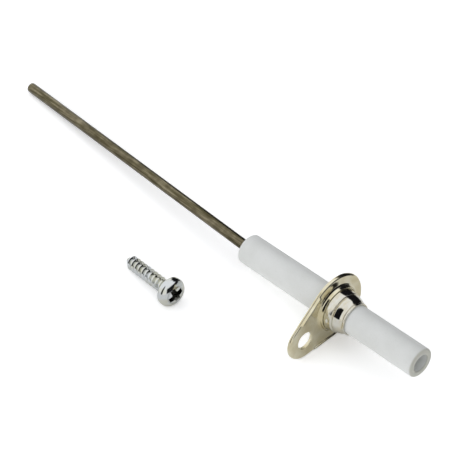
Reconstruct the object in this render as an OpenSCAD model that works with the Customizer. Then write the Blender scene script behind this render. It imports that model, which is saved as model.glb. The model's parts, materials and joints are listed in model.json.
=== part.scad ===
// Flame sensor probe: a wire rod in a ceramic insulator, held by a pressed
// one-hole flange, lying on its flange and rod tip beside its fixing screw.

/* [Flame rod] */
// Diameter of the heat-resistant wire rod
rod_d = 3; // [2.5:0.1:3.2]
// Length of rod that stands out of the insulator
rod_reach = 97; // [60:1:140]
// Angle the rod is set away from the insulator's axis
rod_set = 2.3; // [0:0.1:3]
// Direction of that set, turned up from the level side
rod_set_turn = 37; // [0:1:90]
// Break on the rod's cut end
rod_chamfer = 0.3; // [0.1:0.1:0.6]

/* [Insulator] */
// Diameter of the burner side
front_d = 8.4; // [8:0.1:9]
// Length of the burner side, from the seating face
front_len = 31.3; // [20:0.1:60]
// Diameter of the lead side
rear_d = 8.1; // [7.8:0.1:8.4]
// Length of the lead side, from the seating face
rear_len = 29.6; // [26:0.1:45]
// Diameter of the shoulder trapped in the sleeve
shoulder_d = 9.9; // [9.5:0.1:9.9]
// Rounding of the insulator's ends
end_round = 0.5; // [0.2:0.1:0.8]
// Diameter of the mouth of the lead socket
socket_d = 4.8; // [4.6:0.1:5.2]
// Depth of the mouth of the lead socket
socket_depth = 5; // [3:0.5:6]
// Diameter of the inner part of the lead socket
chamber_d = 4.4; // [4.2:0.1:4.5]
// Depth of the whole lead socket
chamber_depth = 14; // [12:0.5:16]

/* [Flange] */
// Thickness of the pressed sheet
sheet = 0.9; // [0.8:0.1:1.2]
// Radius of the end around the insulator
big_r = 9.4; // [9:0.1:12]
// Radius of the end around the screw hole
small_r = 5.5; // [4.5:0.1:6]
// Distance from the insulator's axis to the screw hole
hole_reach = 12; // [12:0.5:16]
// Diameter of the screw hole
hole_d = 4.8; // [4.4:0.1:5.2]
// Height of the flared neck above the sheet
neck_h = 0.8; // [0.6:0.1:1.2]
// Radius of the neck where it leaves the sheet
neck_foot_r = 7.4; // [6.8:0.1:7.6]
// Width of the stiffening bead along each straight side
bead_w = 1.1; // [0.8:0.1:1.4]
// Height of those beads
bead_h = 0.35; // [0.2:0.05:0.5]
// Length of those beads
bead_len = 8.8; // [4:0.1:9]
// How far the beads' middle lies from the side's middle, towards the big end
bead_shift = 1.3; // [0:0.1:1.3]
// Plain rim left outside them
bead_inset = 0.1; // [0.1:0.1:0.6]

/* [Sleeve] */
// Greatest radius of the drum around the shoulder
drum_r = 5.9; // [5.8:0.05:6]
// Height of the drum's step above the seating face
drum_top = 4.2; // [4.2:0.1:4.8]
// Radius of the band above the step
band_r = 5.4; // [5.2:0.05:5.5]
// Height of the sleeve above the seating face
sleeve_top = 7.6; // [7.6:0.1:9]

/* [Screw] */
// Outside diameter of the thread
thread_d = 4; // [3.9:0.1:4.2]
// Diameter of the core
core_d = 2.9; // [2.6:0.1:3]
// Distance from crest to crest
pitch = 1.5; // [1.3:0.1:1.6]
// Length under the head
screw_len = 17.5; // [16:0.5:22]
// Diameter of the pan head
head_d = 8.1; // [7.5:0.1:8.4]
// Height of the pan head
head_h = 3.1; // [2.6:0.1:3.4]

/* [Layout] */
// Place of the screw's head along the table, from the seating face
screw_x = -36.4; // [-60:0.1:-20]
// Place of the screw to the side of the probe
screw_y = -23.7; // [-60:0.1:-20]
// Angle the screw's point is swung towards the probe
screw_swing = 3.2; // [0:0.1:10]

/* [Hidden] */
fit_gap = 0.05;
overlap = 0.1;
rod_r = rod_d / 2;
front_r = front_d / 2;
rear_r = rear_d / 2;
neck_r = rear_r - 0.2;
shoulder_r = shoulder_d / 2;
rod_bore_r = rod_r + fit_gap;
spigot_r = drum_r - 0.25;
washer_t = 0.3;
washer_top = drum_top - 0.4;
shoulder_top = washer_top - washer_t;
neck_top = sheet + neck_h;
cement_r = 2.3;
cement_len = 3;
chamber_floor = rear_len - chamber_depth;
ferrule_len = 7;
ferrule_r = chamber_d / 2 - 0.15;
bend_at = 0.6;
run_out = rod_reach - bend_at;

// The straight sides lean in by this angle, so the flange lies on one of
// them and its long axis points this far below level.
side_lean = asin((big_r - small_r) / hole_reach);
side_len = hole_reach * cos(side_lean);

// The probe tips until the end of the rod comes down to the table.
tip_x = front_len + bend_at + run_out * cos(rod_set);
tip_rise = run_out * sin(rod_set) * sin(rod_set_turn);
lay_tilt = atan((big_r + tip_rise - rod_r) / tip_x);
table_z = -big_r * cos(lay_tilt);

// The screw lies on the rim of its head and the crest nearest its point.
thread_r = thread_d / 2;
core_r = core_d / 2;
head_r = head_d / 2;
head_side = 1;
head_edge = 0.2;
point_len = 1.4;
crest_w = 0.1;
tooth_w = 0.64;
first_crest = 0.7;
crests = floor((screw_len - point_len - first_crest - tooth_w / 2) / pitch);
last_crest = first_crest + crests * pitch;
screw_tilt = atan((head_r - thread_r) / (last_crest + crest_w / 2 + head_edge));
recess_w = 4.2;
recess_slot = 1;
recess_depth = 2;

// Stands a shape drawn along +Z on the probe's own axis: +X of the drawing
// turns down to the table, +Z towards the lead socket.
module on_axis() {
    rotate([0, 90 - lay_tilt, 0]) children();
}

module ring(outer_r, inner_r, from_z, to_z) {
    translate([0, 0, from_z])
        difference() {
            cylinder(r = outer_r, h = to_z - from_z, $fn = 96);
            translate([0, 0, -overlap])
                cylinder(r = inner_r, h = to_z - from_z + 2 * overlap, $fn = 96);
        }
}

module sensing_rod() {
    lap = 1;
    color([0.30, 0.26, 0.19]) on_axis() {
        translate([0, 0, -front_len - bend_at - lap])
            cylinder(r = rod_r, h = front_len + bend_at + lap + chamber_floor + ferrule_len, $fn = 64);
        translate([0, 0, -front_len - bend_at])
            rotate([0, 0, rod_set_turn - 90])
                rotate([0, 180 + rod_set, 0]) {
                    cylinder(r = rod_r, h = run_out - rod_chamfer, $fn = 64);
                    translate([0, 0, run_out - rod_chamfer])
                        cylinder(r1 = rod_r, r2 = rod_r - rod_chamfer, h = rod_chamfer, $fn = 64);
                }
    }
}

module insulator() {
    outline = [
        [0, -front_len],
        [front_r - end_round, -front_len],
        [front_r, -front_len + end_round],
        [front_r, sheet],
        [shoulder_r, sheet],
        [shoulder_r, shoulder_top],
        [neck_r, shoulder_top],
        [neck_r, sleeve_top + 0.3],
        [rear_r, sleeve_top + 0.3],
        [rear_r, rear_len - end_round],
        [rear_r - end_round, rear_len],
        [0, rear_len]
    ];
    color([0.93, 0.93, 0.92]) on_axis()
        difference() {
            rotate_extrude($fn = 96) polygon(outline);
            translate([0, 0, -front_len - overlap])
                cylinder(r = rod_bore_r, h = front_len + rear_len, $fn = 48);
            translate([0, 0, -front_len - overlap])
                cylinder(r = cement_r, h = cement_len + overlap, $fn = 48);
            translate([0, 0, chamber_floor])
                cylinder(r = chamber_d / 2, h = chamber_depth, $fn = 48);
            translate([0, 0, rear_len - socket_depth])
                cylinder(r = socket_d / 2, h = socket_depth + overlap, $fn = 48);
        }
}

module mouth_cement() {
    color([0.80, 0.78, 0.72]) on_axis()
        ring(cement_r, rod_r, -front_len + 0.2, -front_len + cement_len);
}

module contact_ferrule() {
    color([0.78, 0.66, 0.36]) on_axis()
        ring(ferrule_r, rod_r, chamber_floor, chamber_floor + ferrule_len);
}

// Outline of the flange with its long axis along +X
module flange_outline() {
    rim = [cos(90 - side_lean), sin(90 - side_lean)];
    far = [hole_reach, 0];
    circle(r = big_r, $fn = 128);
    translate(far) circle(r = small_r, $fn = 96);
    polygon([
        big_r * rim,
        [big_r * rim[0], -big_r * rim[1]],
        far + [small_r * rim[0], -small_r * rim[1]],
        far + small_r * rim
    ]);
}

// Round-topped bead along a straight side, just inside its edge
module side_bead(side) {
    bead_r = (bead_w * bead_w / 4 + bead_h * bead_h) / (2 * bead_h);
    root = 0.3;
    rotate([0, 0, side * (90 - side_lean)])
        translate([big_r - bead_inset - bead_w / 2, -side * (side_len / 2 - bead_shift), sheet + bead_h])
            rotate([90, 0, 0])
                intersection() {
                    translate([0, -bead_r, -bead_len / 2])
                        cylinder(r = bead_r, h = bead_len, $fn = 64);
                    translate([-bead_w / 2, -bead_h - root, -bead_len / 2])
                        cube([bead_w, bead_h + root + overlap, bead_len]);
                }
}

module mounting_flange() {
    rim_r = drum_r + 0.1;
    lip = 0.15;
    flare = [
        for (a = [0 : 15 : 90])
            [neck_foot_r - (neck_foot_r - rim_r) * sin(a), sheet + (neck_h - lip) * (1 - cos(a))]
    ];
    neck = concat(
        [[spigot_r, sheet / 2], [neck_foot_r, sheet / 2]],
        flare,
        [[rim_r - lip / 2, neck_top], [spigot_r, neck_top]]
    );
    color([0.74, 0.70, 0.58]) on_axis()
        rotate([0, 0, side_lean - 90])
            difference() {
                union() {
                    linear_extrude(sheet) flange_outline();
                    rotate_extrude($fn = 128) polygon(neck);
                    side_bead(1);
                    side_bead(-1);
                }
                translate([0, 0, -overlap])
                    cylinder(r = front_r + fit_gap, h = 2, $fn = 96);
                translate([0, 0, sheet])
                    cylinder(r = spigot_r, h = 2, $fn = 96);
                translate([hole_reach, 0, -overlap])
                    cylinder(r = hole_d / 2, h = 2, $fn = 64);
            }
}

module retaining_sleeve() {
    skin = [
        [shoulder_r + fit_gap, sheet],
        [spigot_r, sheet],
        [spigot_r, neck_top],
        [drum_r - 0.1, neck_top],
        [drum_r, neck_top + 0.3],
        [drum_r - 0.25, drum_top - 0.2],
        [band_r - 0.15, drum_top],
        [band_r, drum_top + 0.35],
        [band_r - 0.2, drum_top + 1.1],
        [band_r - 0.45, drum_top + 1.9],
        [band_r - 0.8, drum_top + 2.55],
        [rear_r + 0.35, drum_top + 2.65],
        [rear_r + 0.35, sleeve_top - 0.6],
        [rear_r + 0.5, sleeve_top - 0.4],
        [rear_r + 0.5, sleeve_top - 0.2],
        [rear_r + 0.3, sleeve_top],
        [rear_r + fit_gap, sleeve_top],
        [rear_r + fit_gap, washer_top],
        [shoulder_r + fit_gap, washer_top]
    ];
    color([0.80, 0.79, 0.76]) on_axis()
        rotate_extrude($fn = 128) polygon(skin);
}

module seal_washer() {
    color([0.25, 0.25, 0.26]) on_axis()
        ring(shoulder_r, neck_r, shoulder_top, washer_top);
}

// The screw drawn along +Z, with its head's bearing face at zero
module screw_blank() {
    flanks = [
        for (i = [0 : crests])
            let (z = -last_crest + i * pitch)
                each [
                    [core_r, z - tooth_w / 2],
                    [thread_r, z - crest_w / 2],
                    [thread_r, z + crest_w / 2],
                    [core_r, z + tooth_w / 2]
                ]
    ];
    dome = [
        for (a = [0 : 10 : 90])
            [(head_r - 0.2) * cos(a) + 0.2 * cos(a), head_side + (head_h - head_side) * sin(a)]
    ];
    rotate_extrude($fn = 96)
        polygon(concat(
            [[0, -screw_len], [core_r / 2, -screw_len], [core_r, -screw_len + point_len]],
            flanks,
            [[core_r, 0], [head_r - 0.3, 0], [head_r, head_edge]],
            dome
        ));
}

module cross_recess() {
    intersection() {
        union() {
            for (a = [0, 90])
                rotate([0, 0, a])
                    translate([-recess_w / 2, -recess_slot / 2, head_h - recess_depth])
                        cube([recess_w, recess_slot, recess_depth + overlap]);
            translate([0, 0, head_h - recess_depth])
                cylinder(r = recess_slot * 0.8, h = recess_depth + overlap, $fn = 32);
        }
        translate([0, 0, head_h - recess_depth])
            cylinder(r1 = recess_slot * 0.8, r2 = recess_w / 2, h = recess_depth + overlap, $fn = 32);
    }
}

module fixing_screw() {
    color([0.80, 0.81, 0.82])
        translate([screw_x, screw_y, table_z + head_r * cos(screw_tilt) - head_edge * sin(screw_tilt)])
            rotate([0, 90 - screw_tilt, -screw_swing])
                difference() {
                    screw_blank();
                    rotate([0, 0, 20]) cross_recess();
                }
}

sensing_rod();
insulator();
mouth_cement();
contact_ferrule();
mounting_flange();
retaining_sleeve();
seal_washer();
fixing_screw();
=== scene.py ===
import json
import math

import bmesh
import bpy
from mathutils import Matrix, Vector
from mathutils.geometry import delaunay_2d_cdt


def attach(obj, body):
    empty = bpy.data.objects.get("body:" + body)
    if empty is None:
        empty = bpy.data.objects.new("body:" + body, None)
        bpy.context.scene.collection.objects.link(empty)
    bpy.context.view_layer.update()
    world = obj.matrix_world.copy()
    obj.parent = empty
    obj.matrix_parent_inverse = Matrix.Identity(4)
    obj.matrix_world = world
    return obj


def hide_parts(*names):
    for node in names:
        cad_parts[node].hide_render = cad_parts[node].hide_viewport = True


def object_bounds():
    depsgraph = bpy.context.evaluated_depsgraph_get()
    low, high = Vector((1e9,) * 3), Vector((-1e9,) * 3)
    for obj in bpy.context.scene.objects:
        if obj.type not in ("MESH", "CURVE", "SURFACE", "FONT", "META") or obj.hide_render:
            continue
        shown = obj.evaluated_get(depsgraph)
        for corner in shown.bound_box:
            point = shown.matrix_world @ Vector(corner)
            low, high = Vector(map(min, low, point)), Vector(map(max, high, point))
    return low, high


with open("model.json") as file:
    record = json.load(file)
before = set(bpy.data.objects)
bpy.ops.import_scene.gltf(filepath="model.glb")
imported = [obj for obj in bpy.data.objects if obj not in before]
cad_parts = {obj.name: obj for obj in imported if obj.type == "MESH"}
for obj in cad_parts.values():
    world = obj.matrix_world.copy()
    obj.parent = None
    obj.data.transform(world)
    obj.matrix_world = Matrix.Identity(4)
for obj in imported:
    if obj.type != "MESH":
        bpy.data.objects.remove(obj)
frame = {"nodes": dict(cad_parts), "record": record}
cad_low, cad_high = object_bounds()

# Pieces are shaped in millimetres, each in its own frame, and set down in metres.
MM = 0.001
FULL_TURN = 2 * math.pi


# ---- places and sizes read from the frame ----

def axis_frame(origin, along, side):
    """A frame at origin with Z along a piece's axis and X turned towards side."""
    z = along.normalized()
    x = (side - side.dot(z) * z).normalized()
    turn = Matrix((x, z.cross(x), z)).transposed().to_4x4()
    return Matrix.Translation(origin) @ turn


def node_points(node, place):
    """The CAD node's points in millimetres, seen in the frame called place."""
    to_place = place.inverted()
    return [to_place @ v.co / MM for v in frame["nodes"][node].data.vertices]


def widest(points):
    """The greatest distance of the points from their frame's Z axis."""
    return max(math.hypot(p.x, p.y) for p in points)


def narrowest(points):
    """The least distance of the points from their frame's Z axis."""
    return min(math.hypot(p.x, p.y) for p in points)


def span(points):
    """The lowest and highest place of the points along their frame's Z axis."""
    heights = [p.z for p in points]
    return min(heights), max(heights)


mounts = {mount["name"]: mount for mount in frame["record"]["mounts"]}
seat_centre = Vector(mounts["door_opening"]["pos_m"])
toward_lead = Vector(mounts["lead_socket"]["axis"])
hole_centre = Vector(mounts["fixing_hole"]["pos_m"])
on_probe = axis_frame(seat_centre, toward_lead, hole_centre - seat_centre)
hole_reach = (on_probe.inverted() @ hole_centre).x / MM
hole_r = mounts["fixing_hole"]["dims"]["r_mm"]
sheet = mounts["fixing_hole"]["dims"]["length_mm"]
socket_r = mounts["lead_socket"]["dims"]["r_mm"]
socket_depth = mounts["lead_socket"]["dims"]["length_mm"]
lead_r = mounts["lead_barrel"]["dims"]["r_mm"]

insulator_points = node_points("insulator", on_probe)
front_end, lead_end = span(insulator_points)
front_r = widest([p for p in insulator_points if p.z < -1])
shoulder_r = widest(insulator_points)
shoulder_top, washer_top = span(node_points("seal_washer", on_probe))
cement_points = node_points("mouth_cement", on_probe)
cement_r = widest(cement_points)
cement_floor = span(cement_points)[1]
rod_r = narrowest(cement_points)
ferrule_points = node_points("contact_ferrule", on_probe)
chamber_floor, rod_lead_end = span(ferrule_points)
chamber_r = widest(ferrule_points) + 0.15
sleeve_points = node_points("retaining_sleeve", on_probe)
sleeve_top = span(sleeve_points)[1]
drum_r = widest(sleeve_points)
spigot_r = drum_r - 0.25

flange_points = node_points("mounting_flange", on_probe)
neck_top = span(flange_points)[1]
big_r = -min(p.x for p in flange_points)
small_r = max(p.x for p in flange_points) - hole_reach
side_lean = math.asin((big_r - small_r) / hole_reach)
side_len = hole_reach * math.cos(side_lean)

rod_points = node_points("sensing_rod", on_probe)
rod_tip_low = span(rod_points)[0]
tip_ring = [p for p in rod_points if p.z < rod_tip_low + 0.2]
rod_tip = sum(tip_ring, Vector()) / len(tip_ring)
rod_bend = Vector((0, 0, front_end - 0.6))

screw_joint = frame["record"]["behaviour"]["joints"][0]
on_screw = axis_frame(Vector(screw_joint["pos_m"]), Vector(screw_joint["axis"]), Vector((0, 0, -1)))
screw_points = node_points("fixing_screw", on_screw)
screw_low, head_h = span(screw_points)
head_r = widest(screw_points)
thread_r = widest([p for p in screw_points if p.z < -1])


# ---- mesh making ----

def finish_piece(name, mesh, place, material, body, node, sharp=38):
    """Turns a bmesh in millimetres into a shaded piece that rides on a body and replaces a CAD node."""
    bmesh.ops.remove_doubles(mesh, verts=mesh.verts, dist=1e-4)
    bmesh.ops.recalc_face_normals(mesh, faces=mesh.faces)
    bmesh.ops.transform(mesh, matrix=place @ Matrix.Scale(MM, 4), verts=mesh.verts)
    data = bpy.data.meshes.new(name)
    mesh.to_mesh(data)
    mesh.free()
    data.polygons.foreach_set("use_smooth", [True] * len(data.polygons))
    data.set_sharp_from_angle(angle=math.radians(sharp))
    data.materials.append(material)
    piece = bpy.data.objects.new(name, data)
    bpy.context.scene.collection.objects.link(piece)
    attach(piece, body)
    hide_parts(node)


def bridge(mesh, lower, upper):
    """Faces between two closed rings of points; a ring of one point makes a fan."""
    count = max(len(lower), len(upper))
    for i in range(count):
        j = (i + 1) % count
        corners = [lower[i % len(lower)], lower[j % len(lower)],
                   upper[j % len(upper)], upper[i % len(upper)]]
        mesh.faces.new(list(dict.fromkeys(corners)))


def skin_rings(mesh, rings, closed):
    """Faces along a row of rings, and from the last back to the first if it is closed."""
    for lower, upper in zip(rings, rings[1:]):
        bridge(mesh, lower, upper)
    if closed:
        bridge(mesh, rings[-1], rings[0])


def circle_ring(mesh, radius, height, steps):
    """A ring of points round Z, or one point where the radius is nothing."""
    if radius < 1e-4:
        return [mesh.verts.new((0, 0, height))]
    angles = [FULL_TURN * i / steps for i in range(steps)]
    return [mesh.verts.new((radius * math.cos(a), radius * math.sin(a), height)) for a in angles]


def rounded(corners, closed=True, steps=6):
    """Profile points through corners of (radius, height, rounding)."""
    points = []
    count = len(corners)
    for i, (radius, height, rounding) in enumerate(corners):
        here = Vector((radius, height))
        at_end = not closed and i in (0, count - 1)
        if rounding == 0 or at_end:
            points.append(here)
            continue
        back = Vector(corners[i - 1][:2]) - here
        ahead = Vector(corners[(i + 1) % count][:2]) - here
        room = 0.49 * min(back.length, ahead.length)
        trim = min(rounding / math.tan(back.angle(ahead) / 2), room)
        start = here + back.normalized() * trim
        end = here + ahead.normalized() * trim
        for k in range(steps + 1):
            t = k / steps
            points.append((1 - t) ** 2 * start + 2 * t * (1 - t) * here + t ** 2 * end)
    return points


def turned(profile, steps=160, closed=True):
    """A bmesh turned round Z from a profile of (radius, height) points."""
    mesh = bmesh.new()
    rings = [circle_ring(mesh, p[0], p[1], steps) for p in profile]
    skin_rings(mesh, rings, closed)
    return mesh


def smooth_step(value):
    """Eases from 0 to 1 as value does."""
    value = min(max(value, 0.0), 1.0)
    return value * value * (3 - 2 * value)


# ---- shader building blocks ----

def new_group(name, inputs, outputs):
    """An empty shader node group with named value inputs and outputs."""
    group = bpy.data.node_groups.new(name, "ShaderNodeTree")
    for label, kind, default in inputs:
        socket = group.interface.new_socket(label, in_out="INPUT", socket_type=kind)
        if default is not None:
            socket.default_value = default
    for label, kind in outputs:
        group.interface.new_socket(label, in_out="OUTPUT", socket_type=kind)
    return group, group.nodes.new("NodeGroupInput"), group.nodes.new("NodeGroupOutput")


def plug(tree, socket, value):
    """Sets a socket to a plain value, or links another socket to it."""
    if isinstance(value, bpy.types.NodeSocket):
        tree.links.new(value, socket)
    elif isinstance(value, tuple) and len(value) == 3 and len(socket.default_value) == 4:
        socket.default_value = (*value, 1)
    else:
        socket.default_value = value


def add_math(tree, operation, first, second=0.0):
    """One sum on one or two values."""
    node = tree.nodes.new("ShaderNodeMath")
    node.operation = operation
    plug(tree, node.inputs[0], first)
    plug(tree, node.inputs[1], second)
    return node.outputs[0]


def add_range(tree, value, from_low, from_high, to_low=0.0, to_high=1.0):
    """Eases value from one range to another."""
    node = tree.nodes.new("ShaderNodeMapRange")
    node.interpolation_type = "SMOOTHSTEP"
    plug(tree, node.inputs["Value"], value)
    plug(tree, node.inputs["From Min"], from_low)
    plug(tree, node.inputs["From Max"], from_high)
    plug(tree, node.inputs["To Min"], to_low)
    plug(tree, node.inputs["To Max"], to_high)
    return node.outputs["Result"]


def add_noise(tree, vector, scale, detail=4.0, roughness=0.55):
    """Soft noise at this scale."""
    node = tree.nodes.new("ShaderNodeTexNoise")
    node.inputs["Detail"].default_value = detail
    node.inputs["Roughness"].default_value = roughness
    plug(tree, node.inputs["Scale"], scale)
    plug(tree, node.inputs["Vector"], vector)
    return node.outputs["Fac"]


def add_mix(tree, factor, first, second):
    """Mixes two colours."""
    node = tree.nodes.new("ShaderNodeMix")
    node.data_type = "RGBA"
    plug(tree, node.inputs[0], factor)
    plug(tree, node.inputs[6], first)
    plug(tree, node.inputs[7], second)
    return node.outputs[2]


def add_scaled(tree, vector, scale):
    """A vector scaled by another, axis by axis."""
    node = tree.nodes.new("ShaderNodeVectorMath")
    node.operation = "MULTIPLY"
    plug(tree, node.inputs[0], vector)
    plug(tree, node.inputs[1], scale)
    return node.outputs["Vector"]


def add_bump(tree, height, strength, distance):
    """A normal that follows a height."""
    node = tree.nodes.new("ShaderNodeBump")
    node.inputs["Strength"].default_value = strength
    node.inputs["Distance"].default_value = distance
    plug(tree, node.inputs["Height"], height)
    return node.outputs["Normal"]


def add_height(tree, coordinates):
    """Height along the piece's own axis, in mm."""
    split = tree.nodes.new("ShaderNodeSeparateXYZ")
    plug(tree, split.inputs["Vector"], coordinates)
    return add_math(tree, "MULTIPLY", split.outputs["Z"], 1 / MM)


def place_group(tree, group, **values):
    """A node group placed in a material, with underscores standing for the spaces in its input names."""
    node = tree.nodes.new("ShaderNodeGroup")
    node.node_tree = group
    for label, value in values.items():
        plug(tree, node.inputs[label.replace("_", " ")], value)
    return node


def make_drawn_lines():
    """Fine lines that run along a piece's Z axis, as a drawing die or a lathe belt leaves them."""
    group, start, end = new_group(
        "drawn lines",
        [("Vector", "NodeSocketVector", None), ("Across", "NodeSocketFloat", 9000.0),
         ("Along", "NodeSocketFloat", 90.0)],
        [("Lines", "NodeSocketFloat"), ("Scuffs", "NodeSocketFloat")])
    combine = group.nodes.new("ShaderNodeCombineXYZ")
    for axis, label in ((0, "Across"), (1, "Across"), (2, "Along")):
        group.links.new(start.outputs[label], combine.inputs[axis])
    stretched = add_scaled(group, start.outputs["Vector"], combine.outputs["Vector"])
    lines = add_noise(group, stretched, 1.0, 3.0, 0.6)
    scuffs = add_noise(group, add_scaled(group, stretched, (0.3, 0.3, 1.6)), 1.0, 4.0, 0.6)
    group.links.new(lines, end.inputs["Lines"])
    group.links.new(scuffs, end.inputs["Scuffs"])
    return group


def make_grain():
    """A fine even grain, with its own height for a bump."""
    group, start, end = new_group(
        "fine grain",
        [("Vector", "NodeSocketVector", None), ("Scale", "NodeSocketFloat", 3000.0)],
        [("Grain", "NodeSocketFloat"), ("Pits", "NodeSocketFloat")])
    grain = add_noise(group, start.outputs["Vector"], start.outputs["Scale"], 3.0, 0.6)
    wide = add_math(group, "MULTIPLY", start.outputs["Scale"], 0.55)
    cells = group.nodes.new("ShaderNodeTexVoronoi")
    group.links.new(start.outputs["Vector"], cells.inputs["Vector"])
    group.links.new(wide, cells.inputs["Scale"])
    pits = add_range(group, cells.outputs["Distance"], 0.12, 0.3)
    group.links.new(grain, end.inputs["Grain"])
    group.links.new(pits, end.inputs["Pits"])
    return group


def make_blotches():
    """Soft uneven patches, as handling, plating and heat leave them."""
    group, start, end = new_group(
        "soft blotches",
        [("Vector", "NodeSocketVector", None), ("Scale", "NodeSocketFloat", 200.0),
         ("Contrast", "NodeSocketFloat", 0.15)],
        [("Blotches", "NodeSocketFloat")])
    noise = add_noise(group, start.outputs["Vector"], start.outputs["Scale"], 5.0, 0.5)
    low = add_math(group, "SUBTRACT", 0.5, start.outputs["Contrast"])
    high = add_math(group, "ADD", 0.5, start.outputs["Contrast"])
    group.links.new(add_range(group, noise, low, high), end.inputs["Blotches"])
    return group


drawn_lines = make_drawn_lines()
fine_grain = make_grain()
soft_blotches = make_blotches()


def new_material(name, place=on_probe):
    """A material with its Principled shader, its node tree and coordinates along a piece's own axis."""
    material = bpy.data.materials.new(name)
    material.use_nodes = True
    tree = material.node_tree
    shader = tree.nodes["Principled BSDF"]
    coordinates = tree.nodes.new("ShaderNodeTexCoord").outputs["Object"]
    to_place = tree.nodes.new("ShaderNodeMapping")
    to_place.inputs["Location"].default_value = place.inverted().translation
    to_place.inputs["Rotation"].default_value = place.inverted().to_euler()
    tree.links.new(coordinates, to_place.inputs["Vector"])
    return material, tree, shader, to_place.outputs["Vector"]


def make_oxidised_wire():
    material, tree, shader, coordinates = new_material("oxidised drawn wire")
    lines = place_group(tree, drawn_lines, Vector=coordinates, Across=2600.0, Along=120.0)
    blotches = place_group(tree, soft_blotches, Vector=coordinates, Scale=420.0, Contrast=0.14)
    olive = (0.085, 0.075, 0.035)
    tan = (0.27, 0.235, 0.155)
    streaks = add_range(tree, lines.outputs["Lines"], 0.36, 0.66)
    colour = add_mix(tree, streaks, olive, tan)
    scorched = (0.05, 0.04, 0.02)
    dark = add_math(tree, "MULTIPLY", blotches.outputs["Blotches"], 0.45)
    plug(tree, shader.inputs["Base Color"], add_mix(tree, dark, colour, scorched))
    shader.inputs["Metallic"].default_value = 1.0
    rough = add_range(tree, lines.outputs["Scuffs"], 0.3, 0.7, 0.07, 0.16)
    plug(tree, shader.inputs["Roughness"], rough)
    plug(tree, shader.inputs["Normal"], add_bump(tree, lines.outputs["Lines"], 0.16, 0.00006))
    return material


def make_fired_ceramic():
    material, tree, shader, coordinates = new_material("fired ceramic")
    grain = place_group(tree, fine_grain, Vector=coordinates, Scale=2600.0)
    blotches = place_group(tree, soft_blotches, Vector=coordinates, Scale=160.0, Contrast=0.2)
    white = (0.69, 0.70, 0.68)
    grey = (0.645, 0.655, 0.63)
    body = add_mix(tree, blotches.outputs["Blotches"], white, grey)
    speck = (0.58, 0.58, 0.54)
    specks = add_math(tree, "MULTIPLY", add_range(tree, grain.outputs["Grain"], 0.60, 0.72), 0.5)
    specked = add_mix(tree, specks, body, speck)
    # Painted shade: the lead end's face is a little darker and more beige than the body.
    shaded_end_colour = (0.50, 0.50, 0.44)
    shade_starts = lead_end - 0.55
    shade_full = lead_end - 0.12
    at_end = add_range(tree, add_height(tree, coordinates), shade_starts, shade_full)
    plug(tree, shader.inputs["Base Color"], add_mix(tree, at_end, specked, shaded_end_colour))
    shader.inputs["Roughness"].default_value = 0.62
    shader.inputs["Specular IOR Level"].default_value = 0.35
    plug(tree, shader.inputs["Normal"], add_bump(tree, grain.outputs["Grain"], 0.18, 0.00008))
    return material


def make_warm_nickel():
    material, tree, shader, coordinates = new_material("warm nickel plate")
    grain = place_group(tree, fine_grain, Vector=coordinates, Scale=1500.0)
    blotches = place_group(tree, soft_blotches, Vector=coordinates, Scale=260.0, Contrast=0.25)
    pale = (0.76, 0.72, 0.56)
    deep = (0.60, 0.53, 0.33)
    plug(tree, shader.inputs["Base Color"], add_mix(tree, blotches.outputs["Blotches"], pale, deep))
    shader.inputs["Metallic"].default_value = 1.0
    rough = add_range(tree, grain.outputs["Grain"], 0.3, 0.7, 0.09, 0.17)
    plug(tree, shader.inputs["Roughness"], rough)
    plug(tree, shader.inputs["Normal"], add_bump(tree, grain.outputs["Grain"], 0.10, 0.00010))
    return material


def make_bright_nickel():
    material, tree, shader, coordinates = new_material("bright nickel plate")
    lines = place_group(tree, drawn_lines, Vector=coordinates, Across=900.0, Along=500.0)
    grain = place_group(tree, fine_grain, Vector=coordinates, Scale=1200.0)
    bright = (0.68, 0.67, 0.60)
    warm = (0.62, 0.57, 0.43)
    tint = add_range(tree, lines.outputs["Scuffs"], 0.35, 0.7)
    plug(tree, shader.inputs["Base Color"], add_mix(tree, tint, bright, warm))
    shader.inputs["Metallic"].default_value = 1.0
    rough = add_range(tree, grain.outputs["Grain"], 0.3, 0.7, 0.04, 0.09)
    plug(tree, shader.inputs["Roughness"], rough)
    plug(tree, shader.inputs["Normal"], add_bump(tree, grain.outputs["Grain"], 0.05, 0.00010))
    return material


def add_recess_shade(tree, coordinates):
    """Mask of the inside of the driver's recess, for painted shade there."""
    recess_reach = 2.6
    shade_starts = head_h - 0.2
    shade_full = head_h - 0.7
    reach = tree.nodes.new("ShaderNodeVectorMath")
    reach.operation = "LENGTH"
    plug(tree, reach.inputs[0], add_scaled(tree, coordinates, (1 / MM, 1 / MM, 0)))
    inside = add_range(tree, reach.outputs["Value"], recess_reach, recess_reach - 0.1)
    height = add_height(tree, coordinates)
    below = add_range(tree, height, shade_starts, shade_full)
    above = add_range(tree, height, 0.2, 0.4)
    return add_math(tree, "MULTIPLY", add_math(tree, "MULTIPLY", inside, below), above)


def make_bright_zinc():
    material, tree, shader, coordinates = new_material("bright zinc plate", on_screw)
    grain = place_group(tree, fine_grain, Vector=coordinates, Scale=1800.0)
    blotches = place_group(tree, soft_blotches, Vector=coordinates, Scale=300.0, Contrast=0.1)
    clear = (0.64, 0.66, 0.66)
    straw = (0.60, 0.60, 0.52)
    plated = add_mix(tree, blotches.outputs["Blotches"], clear, straw)
    # Painted shade: the inside of the recess is darkened to this colour.
    dark = (0.10, 0.10, 0.09)
    plug(tree, shader.inputs["Base Color"], add_mix(tree, add_recess_shade(tree, coordinates), plated, dark))
    shader.inputs["Metallic"].default_value = 1.0
    rough = add_range(tree, grain.outputs["Grain"], 0.3, 0.7, 0.06, 0.14)
    plug(tree, shader.inputs["Roughness"], rough)
    plug(tree, shader.inputs["Normal"], add_bump(tree, grain.outputs["Grain"], 0.08, 0.00008))
    return material


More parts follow.
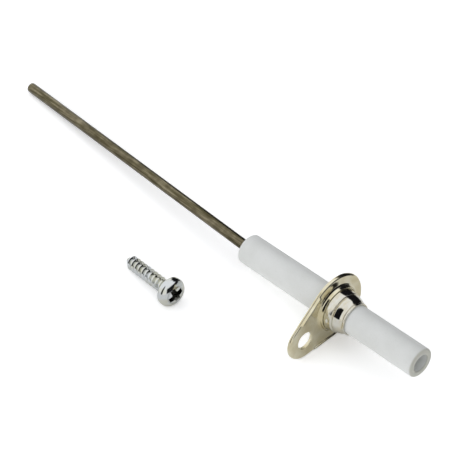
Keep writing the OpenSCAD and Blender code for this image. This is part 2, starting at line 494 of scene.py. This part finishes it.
def make_plain_finish(name, light, dark, metallic, roughness, scale):
    """A finish for the small pieces inside: two tones, a grain and a bump."""
    material, tree, shader, coordinates = new_material(name)
    grain = place_group(tree, fine_grain, Vector=coordinates, Scale=scale)
    tone = add_range(tree, grain.outputs["Grain"], 0.35, 0.65)
    plug(tree, shader.inputs["Base Color"], add_mix(tree, tone, light, dark))
    shader.inputs["Metallic"].default_value = metallic
    rough = add_range(tree, grain.outputs["Grain"], 0.3, 0.7, roughness, roughness + 0.15)
    plug(tree, shader.inputs["Roughness"], rough)
    plug(tree, shader.inputs["Normal"], add_bump(tree, grain.outputs["Pits"], 0.25, 0.00005))
    return material


# ---- the flame rod ----

def rod_centres():
    """Centre points from the rod's lead end, round its slight bend, to its flame tip."""
    soften = 2.5
    into_bend = rod_bend + Vector((0, 0, soften))
    out_of_bend = rod_bend + (rod_tip - rod_bend).normalized() * soften
    curve = []
    for k in range(11):
        t = k / 10
        curve.append((1 - t) ** 2 * into_bend + 2 * t * (1 - t) * rod_bend + t ** 2 * out_of_bend)
    return [Vector((0, 0, rod_lead_end)), *curve, rod_tip]


def quarter_turn(steps):
    """Angles from nothing to a quarter turn."""
    return [math.pi / 2 * k / steps for k in range(steps + 1)]


def rod_stations():
    """Centre, direction and radius of each ring along the rod, with a rounded edge at both ends."""
    centres = rod_centres()
    edge = 0.35
    rows = [(edge * (1 - math.cos(a)), rod_r - edge + edge * math.sin(a)) for a in quarter_turn(5)]
    first = (centres[1] - centres[0]).normalized()
    last = (centres[-1] - centres[-2]).normalized()
    stations = [(centres[0], first, 0)]
    stations += [(centres[0] + first * back, first, radius) for back, radius in rows]
    for before, here, after in zip(centres, centres[1:], centres[2:]):
        stations.append((here, after - before, rod_r))
    stations += [(centres[-1] - last * back, last, radius) for back, radius in reversed(rows)]
    stations.append((centres[-1], last, 0))
    return stations


def make_rod(material):
    mesh = bmesh.new()
    rings = []
    for centre, along, radius in rod_stations():
        ring = circle_ring(mesh, radius, 0, 72)
        bmesh.ops.transform(mesh, matrix=axis_frame(centre, along, Vector((1, 0, 0))), verts=ring)
        rings.append(ring)
    skin_rings(mesh, rings, False)
    finish_piece("sensing_rod_wire", mesh, on_probe, material, "probe", "sensing_rod")


# ---- the ceramic insulator ----

def make_insulator(material):
    front_edge = 0.5
    lead_edge = 0.8
    mouth_edge = 0.3
    rod_bore_r = rod_r + 0.05
    barrel_gap = 0.05
    corners = [
        (cement_r, front_end, mouth_edge),
        (front_r, front_end, front_edge),
        (front_r, sheet, 0),
        (shoulder_r, sheet, 0.2),
        (shoulder_r, shoulder_top, 0.2),
        (lead_r - barrel_gap, shoulder_top, 0),
        (lead_r, sleeve_top, 0),
        (lead_r, lead_end, lead_edge),
        (socket_r, lead_end, mouth_edge),
        (socket_r, lead_end - socket_depth, 0.2),
        (chamber_r, lead_end - socket_depth - 0.3, 0),
        (chamber_r, chamber_floor, 0.3),
        (rod_bore_r, chamber_floor, 0),
        (rod_bore_r, cement_floor, 0),
        (cement_r, cement_floor, 0),
    ]
    mesh = turned(rounded(corners))
    finish_piece("insulator_ceramic", mesh, on_probe, material, "probe", "insulator")


# ---- the retaining sleeve ----

def make_sleeve(material):
    step = sleeve_top - 3.4
    lip_r = lead_r + 0.53
    corners = [
        # spigot inside the flange's neck
        (shoulder_r + 0.05, sheet, 0),
        (spigot_r, sheet, 0),
        (spigot_r, neck_top, 0),
        # barrel-shaped drum
        (drum_r - 0.12, neck_top + 0.03, 0.1),
        (drum_r, neck_top + 0.3, 0.4),
        (drum_r - 0.26, step - 0.18, 0.25),
        # step, then the upper drum as it narrows
        (drum_r - 0.66, step, 0.1),
        (drum_r - 0.50, step + 0.35, 0.25),
        (drum_r - 0.68, step + 1.1, 0.8),
        (drum_r - 0.97, step + 1.9, 0.8),
        (drum_r - 1.35, step + 2.58, 0.2),
        # groove and rolled ring
        (lead_r + 0.36, step + 2.68, 0.08),
        (lead_r + 0.36, step + 2.78, 0.06),
        (lip_r, step + 2.9, 0.12),
        (lip_r, sleeve_top - 0.04, 0.2),
        # inside
        (lead_r + 0.06, sleeve_top, 0.08),
        (lead_r + 0.06, washer_top, 0),
        (shoulder_r + 0.05, washer_top, 0),
    ]
    mesh = turned(rounded(corners), steps=192)
    finish_piece("retaining_sleeve_shell", mesh, on_probe, material, "probe",
                 "retaining_sleeve", sharp=50)


# ---- the pressed flange ----

# Roll of the upper edges, break of the lower ones, outer radius of the neck's foot, and the two beads.
EDGE_ROLL = 0.60
HOLE_EDGE = 0.20
LOW_EDGE = 0.07
FOOT_R = 7.5
BEAD_INSET = 0.65
BEAD_W = 1.1
BEAD_H = 0.34
BEAD_LEN = 8.8
BEAD_SHIFT = 1.3


def flange_outline(inset):
    """Points round the flange, this far inside its edge, with its screw hole end towards +X."""
    quarter = math.pi / 2 - side_lean
    big_steps, small_steps, side_steps = 110, 56, 48
    points = []
    for i in range(big_steps + 1):
        a = quarter + (FULL_TURN - 2 * quarter) * i / big_steps
        points.append(Vector((math.cos(a), math.sin(a))) * (big_r - inset))
    far = Vector((hole_reach, 0))
    small = []
    for i in range(small_steps + 1):
        a = -quarter + 2 * quarter * i / small_steps
        small.append(far + Vector((math.cos(a), math.sin(a))) * (small_r - inset))
    out = [points[-1].lerp(small[0], i / side_steps) for i in range(1, side_steps)]
    back = [small[-1].lerp(points[0], i / side_steps) for i in range(1, side_steps)]
    return points + out + small + back


def circle_points(centre_x, radius, steps):
    """Points round a circle on the sheet."""
    angles = [FULL_TURN * i / steps for i in range(steps)]
    return [Vector((centre_x + radius * math.cos(a), radius * math.sin(a))) for a in angles]


def along_side(x, y):
    """How far a point lies along the nearer straight side, from its big end."""
    return x * math.cos(side_lean) - abs(y) * math.sin(side_lean)


def past_middle(x, y):
    """How far along its side a point lies from the middle of the bead."""
    return abs(along_side(x, y) - side_len / 2 + BEAD_SHIFT)


def edge_room(x, y):
    """How far inside the flange's edge a point lies."""
    along = along_side(x, y)
    if along < 0:
        return big_r - math.hypot(x, y)
    if along > side_len:
        return small_r - math.hypot(x - hole_reach, y)
    return big_r - x * math.sin(side_lean) - abs(y) * math.cos(side_lean)


def bead_height(x, y):
    """Height of the round-topped bead inside each straight side."""
    past_end = max(past_middle(x, y) - (BEAD_LEN - BEAD_W) / 2, 0)
    off_ridge = math.hypot(edge_room(x, y) - BEAD_INSET, past_end)
    if off_ridge >= BEAD_W / 2:
        return 0
    return BEAD_H * math.cos(math.pi * off_ridge / BEAD_W) ** 2


def side_point(along, room, side):
    """The point this far along a straight side and this far inside it."""
    reach = big_r - room
    x = along * math.cos(side_lean) + reach * math.sin(side_lean)
    y = reach * math.cos(side_lean) - along * math.sin(side_lean)
    return Vector((x, side * y))


def bead_points():
    """A fine grid of points over both beads."""
    points = []
    rows = 13
    stops = 70
    for side in (1, -1):
        for i in range(rows):
            for j in range(stops):
                room = BEAD_INSET + BEAD_W * (i / (rows - 1) - 0.5)
                along = side_len / 2 - BEAD_SHIFT + BEAD_LEN * (j / (stops - 1) - 0.5)
                if room > EDGE_ROLL + 0.03:
                    points.append(side_point(along, room, side))
    return points


def sheet_points(hole_edge):
    """Spaced points over the plain part of the sheet."""
    points = []
    spacing = 0.7
    margin = 0.35
    columns = int((big_r + hole_reach + small_r) / spacing)
    rows = int(big_r / spacing)
    for i in range(columns):
        for j in range(-rows, rows + 1):
            x = -big_r + (i + 0.5 * (j % 2)) * spacing
            y = j * spacing * 0.87
            on_bead = abs(edge_room(x, y) - BEAD_INSET) < BEAD_W / 2 + 0.15
            beside_bead = past_middle(x, y) < BEAD_LEN / 2 + 0.15
            clear_of_foot = math.hypot(x, y) > FOOT_R + margin
            clear_of_hole = math.hypot(x - hole_reach, y) > hole_edge + margin
            inside = edge_room(x, y) > EDGE_ROLL + margin
            if inside and clear_of_foot and clear_of_hole and not (on_bead and beside_bead):
                points.append(Vector((x, y)))
    return points


def fill_face(mesh, loops, loose, keep, height):
    """Triangles over the face that lies between closed loops of points."""
    least_area = 1e-5
    points = []
    edges = []
    for loop in loops:
        first = len(points)
        points += loop
        edges += [(first + i, first + (i + 1) % len(loop)) for i in range(len(loop))]
    made = delaunay_2d_cdt(points + loose, edges, [], 0, 1e-6)
    verts = [mesh.verts.new((p.x, p.y, height(p.x, p.y))) for p in made[0]]
    for corners in made[2]:
        a, b, c = (made[0][corner] for corner in corners)
        area = abs((b - a).cross(c - a)) / 2
        if area > least_area and keep((a + b + c) / 3):
            mesh.faces.new([verts[corner] for corner in corners])


def edge_rows(roll):
    """Inset and height of each row up a cut edge: sharp below, rolled over above."""
    rows = [(LOW_EDGE * (1 - math.sin(a)), LOW_EDGE * (1 - math.cos(a))) for a in quarter_turn(2)]
    rows += [(roll * (1 - math.cos(a)), sheet - roll * (1 - math.sin(a))) for a in quarter_turn(10)]
    return rows


def wall_ring(mesh, points, height):
    """A ring of points at this height, lifted where it crosses a bead."""
    return [mesh.verts.new((p.x, p.y, height + bead_height(p.x, p.y))) for p in points]


def clear_of_holes(middle_r, hole_edge):
    """A test of whether a point lies outside the middle circle and the screw hole."""
    middle_limit = middle_r * 0.9995
    hole_limit = hole_edge * 0.999
    hole = Vector((hole_reach, 0))
    return lambda p: p.length > middle_limit and (p - hole).length > hole_limit


def make_flange(material):
    mesh = bmesh.new()
    skin_rings(mesh, [wall_ring(mesh, flange_outline(inset), z)
                      for inset, z in edge_rows(EDGE_ROLL)], False)
    skin_rings(mesh, [wall_ring(mesh, circle_points(hole_reach, hole_r + inset, 96), z)
                      for inset, z in edge_rows(HOLE_EDGE)], False)

    bore_r = front_r + 0.05
    lip_r = drum_r + 0.30
    lip_top = neck_top + 0.25
    neck = [
        (bore_r + LOW_EDGE, 0, 0),
        (bore_r, LOW_EDGE, 0),
        (bore_r, sheet, 0),
        (spigot_r, sheet, 0),
        (spigot_r, neck_top, 0),
        (drum_r + 0.08, neck_top, 0.05),
        (drum_r + 0.14, lip_top, 0.06),
        (lip_r, lip_top, 0.12),
        (lip_r + 0.24, neck_top - 0.42, 0.5),
        (FOOT_R - 0.55, sheet + 0.06, 0.6),
        (FOOT_R, sheet, 0),
    ]
    profile = rounded(neck, closed=False)
    skin_rings(mesh, [circle_ring(mesh, p[0], p[1], 160) for p in profile], False)

    hole_top = hole_r + HOLE_EDGE
    fill_face(
        mesh,
        [flange_outline(EDGE_ROLL), circle_points(hole_reach, hole_top, 96), circle_points(0, FOOT_R, 160)],
        bead_points() + sheet_points(hole_top),
        clear_of_holes(FOOT_R, hole_top),
        lambda x, y: sheet + bead_height(x, y))
    hole_low = hole_r + LOW_EDGE
    bore_low = bore_r + LOW_EDGE
    fill_face(
        mesh,
        [flange_outline(LOW_EDGE), circle_points(hole_reach, hole_low, 96), circle_points(0, bore_low, 160)],
        [],
        clear_of_holes(bore_low, hole_low),
        lambda x, y: 0)
    finish_piece("mounting_flange_pressing", mesh, on_probe, material, "probe",
                 "mounting_flange")


# ---- the fixing screw ----

# Thread: pitch, core, point, and half widths of a tooth at its foot and its crest as parts of a pitch.
PITCH = 1.5
CORE_R = 1.42
POINT_LEN = 1.6
POINT_R = 0.75
FLANK = 0.267
CREST = 0.033
CORE_ROWS = (0.38, 0.5, 0.62)
GROW_LEN = 1.9
HEAD_SIDE = 1.0


def core_radius(z):
    """Radius of the screw's core: tapered to a blunt point, flared under the head."""
    point = smooth_step((z - screw_low) / POINT_LEN)
    flare = smooth_step((z + 0.7) / 0.7)
    return POINT_R + (CORE_R - POINT_R) * point + 0.3 * flare


def tooth(phase):
    """Height of the thread's profile, 0 to 1, this part of a pitch away from its crest."""
    off_crest = abs(phase - round(phase))
    return min(max((FLANK - off_crest) / (FLANK - CREST), 0.0), 1.0)


def thread_height(z, phase):
    """How far the thread stands above the core."""
    grows_in = smooth_step((z - screw_low) / GROW_LEN)
    runs_out = smooth_step((-0.2 - z) / 0.7)
    return (thread_r - CORE_R) * tooth(phase) * grows_in * runs_out


def skin_thread(mesh, low_ring, top_ring):
    """Skin of the shank between two rings, in rows that climb with the thread."""
    steps = len(low_ring)
    stops = (-FLANK, -FLANK / 2, -CREST, CREST, FLANK / 2, FLANK, *CORE_ROWS)
    first_turn = math.floor(screw_low / PITCH) - 1
    made = {}

    def vert(row, i):
        """The point on this row, or the end ring's where the row runs past it."""
        if i == steps:
            row, i = row + len(stops), 0
        phase = first_turn + row // len(stops) + stops[row % len(stops)]
        z = PITCH * (phase + i / steps)
        if z <= screw_low:
            return low_ring[i]
        if z >= 0:
            return top_ring[i]
        if (row, i) not in made:
            angle = FULL_TURN * i / steps
            radius = core_radius(z) + thread_height(z, phase)
            made[row, i] = mesh.verts.new((radius * math.cos(angle), radius * math.sin(angle), z))
        return made[row, i]

    for row in range(-first_turn * len(stops)):
        for i in range(steps):
            lower = [vert(row, i), vert(row, i + 1)]
            upper = [vert(row + 1, i + 1), vert(row + 1, i)]
            corners = dict.fromkeys(lower + upper)
            if len(corners) > 2:
                mesh.faces.new(corners)


def cross_loop(mesh, reach, half_width, z, turn):
    """A cross-shaped ring of points with softened inner corners."""
    inner = half_width * 1.35
    quarter = [(reach, -half_width), (reach, half_width), (inner, half_width * 1.12),
               (half_width * 1.12, inner)]
    ring = []
    for k in range(4):
        a = turn + k * math.pi / 2
        for x, y in quarter:
            ring.append(mesh.verts.new((x * math.cos(a) - y * math.sin(a),
                                        x * math.sin(a) + y * math.cos(a), z)))
    return ring


def cross_tool():
    """The driver's shape: a cross that narrows to a point."""
    turn = math.radians(20)
    mesh = bmesh.new()
    rings = [
        [mesh.verts.new((0, 0, head_h + 0.4))],
        cross_loop(mesh, 2.55, 0.80, head_h + 0.4, turn),
        cross_loop(mesh, 2.2, 0.70, head_h - 0.35, turn),
        cross_loop(mesh, 1.4, 0.55, head_h - 2.0, turn),
        [mesh.verts.new((0, 0, head_h - 2.5))],
    ]
    skin_rings(mesh, rings, False)
    bmesh.ops.recalc_face_normals(mesh, faces=mesh.faces)
    return mesh


def scratch_object(mesh, name):
    """A passing object that only the cut uses."""
    data = bpy.data.meshes.new(name)
    mesh.to_mesh(data)
    mesh.free()
    piece = bpy.data.objects.new(name, data)
    bpy.context.scene.collection.objects.link(piece)
    return piece


def cut_away(mesh, tool_mesh):
    """What is left of a bmesh when a tool's solid is cut from it."""
    blank = scratch_object(mesh, "blank")
    tool = scratch_object(tool_mesh, "tool")
    cut = blank.modifiers.new("cut", "BOOLEAN")
    cut.operation = "DIFFERENCE"
    cut.solver = "EXACT"
    cut.object = tool
    graph = bpy.context.evaluated_depsgraph_get()
    result = bmesh.new()
    result.from_mesh(blank.evaluated_get(graph).to_mesh())
    for piece in (blank, tool):
        data = piece.data
        bpy.data.objects.remove(piece)
        bpy.data.meshes.remove(data)
    return result


def make_screw(material):
    steps = 112
    mesh = bmesh.new()
    low_ring = circle_ring(mesh, core_radius(screw_low), screw_low, steps)
    top_ring = circle_ring(mesh, core_radius(0), 0, steps)
    point = [circle_ring(mesh, 0, screw_low, steps), circle_ring(mesh, POINT_R / 2, screw_low, steps)]
    skin_rings(mesh, [*point, low_ring], False)
    skin_thread(mesh, low_ring, top_ring)
    corners = [(CORE_R + 0.3, 0, 0), (head_r - 0.02, 0, 0.25), (head_r, 0.45, 0.3)]
    profile = rounded(corners, closed=False, steps=4)
    dome_h = head_h - HEAD_SIDE
    profile += [Vector((head_r * math.cos(a), HEAD_SIDE + dome_h * math.sin(a)))
                for a in quarter_turn(24)]
    head = [circle_ring(mesh, p[0], p[1], steps) for p in profile[1:]]
    skin_rings(mesh, [top_ring, *head], False)
    bmesh.ops.recalc_face_normals(mesh, faces=mesh.faces)
    finish_piece("fixing_screw_threaded", cut_away(mesh, cross_tool()), on_screw, material,
                 "screw", "fixing_screw", sharp=34)


# ---- the stage ----

# Floor: its own glow, and the direction and the distances in metres past which metal mirrors it dark.
FLOOR_GLOW = 0.36
BACK_AZIMUTH = math.radians(58)
DARK_STARTS = 0.045
DARK_FULL = 0.075

KEY_PLACE = Vector((-0.40, -0.60, 0.36))
KEY_SIZE = 0.45
KEY_POWER = 0.85

# Dark gaps between the room's screens: azimuth, half width, lowest and highest elevation, in degrees.
ROOM_GAPS = [
    (97, 37, -8, 49),
    (-87, 19, 2, 63),
    (20, 42, -8, 31),
]


def make_floor():
    """A wide pale floor at the height the probe rests on."""
    mesh = bmesh.new()
    bmesh.ops.create_grid(mesh, x_segments=8, y_segments=8, size=3)
    data = bpy.data.meshes.new("floor")
    mesh.to_mesh(data)
    mesh.free()
    floor = bpy.data.objects.new("floor", data)
    bpy.context.scene.collection.objects.link(floor)
    floor.location.z = cad_low.z
    material, tree, shader, coordinates = new_material("pale floor", Matrix())
    pale = (0.93, 0.93, 0.92)
    white = (0.95, 0.95, 0.95)
    noise = add_noise(tree, coordinates, 6.0)
    mirrored = tree.nodes.new("ShaderNodeLightPath").outputs["Is Glossy Ray"]
    toward_back = tree.nodes.new("ShaderNodeVectorMath")
    toward_back.operation = "DOT_PRODUCT"
    plug(tree, toward_back.inputs[0], coordinates)
    toward_back.inputs[1].default_value = (math.cos(BACK_AZIMUTH), math.sin(BACK_AZIMUTH), 0)
    beyond = add_range(tree, toward_back.outputs["Value"], DARK_STARTS, DARK_FULL)
    unlit = add_math(tree, "MULTIPLY", mirrored, beyond)
    shadow = (0.02, 0.02, 0.02)
    paper = add_mix(tree, noise, pale, white)
    plug(tree, shader.inputs["Base Color"], add_mix(tree, unlit, paper, shadow))
    shader.inputs["Roughness"].default_value = 0.8
    shader.inputs["Emission Color"].default_value = (1, 1, 1, 1)
    glow = add_math(tree, "SUBTRACT", FLOOR_GLOW, add_math(tree, "MULTIPLY", mirrored, FLOOR_GLOW))
    plug(tree, shader.inputs["Emission Strength"], glow)
    data.materials.append(material)


def add_softbox(name, place, aim, width, height, power):
    """A soft lamp that lights matte surfaces and isn't mirrored in the metal."""
    light = bpy.data.lights.new(name, "AREA")
    light.shape = "RECTANGLE"
    light.size = width
    light.size_y = height
    light.energy = power
    lamp = bpy.data.objects.new(name, light)
    lamp.location = place
    lamp.rotation_euler = (aim - place).to_track_quat("-Z", "Y").to_euler()
    lamp.visible_glossy = False
    bpy.context.scene.collection.objects.link(lamp)


def add_gap(tree, direction, azimuth, half_width, low, high):
    """A mask over the part of the room round an azimuth and between two elevations, in degrees."""
    soft = math.radians(2)
    level = tree.nodes.new("ShaderNodeVectorMath")
    level.operation = "NORMALIZE"
    plug(tree, level.inputs[0], add_scaled(tree, direction, (1, 1, 0)))
    turn = tree.nodes.new("ShaderNodeVectorMath")
    turn.operation = "DOT_PRODUCT"
    plug(tree, turn.inputs[0], level.outputs["Vector"])
    middle = math.radians(azimuth)
    turn.inputs[1].default_value = (math.cos(middle), math.sin(middle), 0)
    off = add_math(tree, "ARCCOSINE", add_math(tree, "MULTIPLY", turn.outputs["Value"], 0.99999))
    half = math.radians(half_width)
    beside = add_range(tree, off, half - soft, half + soft, 1.0, 0.0)
    split = tree.nodes.new("ShaderNodeSeparateXYZ")
    plug(tree, split.inputs[0], direction)
    rise = add_math(tree, "ARCSINE", split.outputs["Z"])
    above = add_range(tree, rise, math.radians(low) - soft, math.radians(low) + soft)
    below = add_range(tree, rise, math.radians(high) - soft, math.radians(high) + soft, 1.0, 0.0)
    return add_math(tree, "MULTIPLY", beside, add_math(tree, "MULTIPLY", above, below))


def light_stage():
    """A white room with dark gaps between its screens, which bright metal mirrors, and a soft key light."""
    add_softbox("key light", KEY_PLACE, Vector((0, 0, 0)), KEY_SIZE, KEY_SIZE, KEY_POWER)
    world = bpy.data.worlds.new("studio")
    bpy.context.scene.world = world
    world.use_nodes = True
    tree = world.node_tree
    direction = tree.nodes.new("ShaderNodeTexCoord").outputs["Generated"]
    dark = 0.0
    for azimuth, half_width, low, high in ROOM_GAPS:
        gap = add_gap(tree, direction, azimuth, half_width, low, high)
        dark = add_math(tree, "MAXIMUM", dark, gap)
    screens = (1.06, 1.07, 1.10)
    shadow = (0.010, 0.010, 0.012)
    room = add_mix(tree, dark, screens, shadow)
    seen = (1.0, 1.0, 1.0)
    path = tree.nodes.new("ShaderNodeLightPath")
    background = tree.nodes["Background"]
    plug(tree, background.inputs["Color"], add_mix(tree, path.outputs["Is Camera Ray"], room, seen))


def place_camera():
    """Looks down on the parts from beside the lead end."""
    azimuth = math.radians(46.74)
    elevation = math.radians(44.81)
    distance = 430 * MM
    look_at = Vector((-26.04, -9.93, 13.04)) * MM
    level = math.cos(elevation)
    forward = Vector((-math.sin(azimuth) * level, math.cos(azimuth) * level, -math.sin(elevation)))
    camera = bpy.data.objects.new("camera", bpy.data.cameras.new("camera"))
    camera.data.lens = 130.2
    camera.data.sensor_width = 36
    camera.data.clip_start = 0.01
    camera.location = look_at - forward * distance
    camera.rotation_euler = forward.to_track_quat("-Z", "Y").to_euler()
    bpy.context.scene.collection.objects.link(camera)
    bpy.context.scene.camera = camera


def finish_kept_nodes():
    """Gives the small CAD pieces their finishes."""
    cement = make_plain_finish("furnace cement", (0.60, 0.57, 0.50), (0.46, 0.44, 0.39), 0, 0.8, 2500)
    brass = make_plain_finish("contact brass", (0.66, 0.53, 0.27), (0.55, 0.43, 0.21), 1, 0.25, 2000)
    graphite = make_plain_finish("graphite sheet", (0.05, 0.05, 0.055), (0.09, 0.09, 0.09), 0, 0.6, 3000)
    finishes = {"mouth_cement": cement, "contact_ferrule": brass, "seal_washer": graphite}
    for node, material in finishes.items():
        data = frame["nodes"][node].data
        data.materials.clear()
        data.materials.append(material)


bpy.context.scene.view_settings.view_transform = "Standard"
place_camera()
light_stage()
make_floor()
make_rod(make_oxidised_wire())
make_insulator(make_fired_ceramic())
make_flange(make_warm_nickel())
make_sleeve(make_bright_nickel())
make_screw(make_bright_zinc())
finish_kept_nodes()
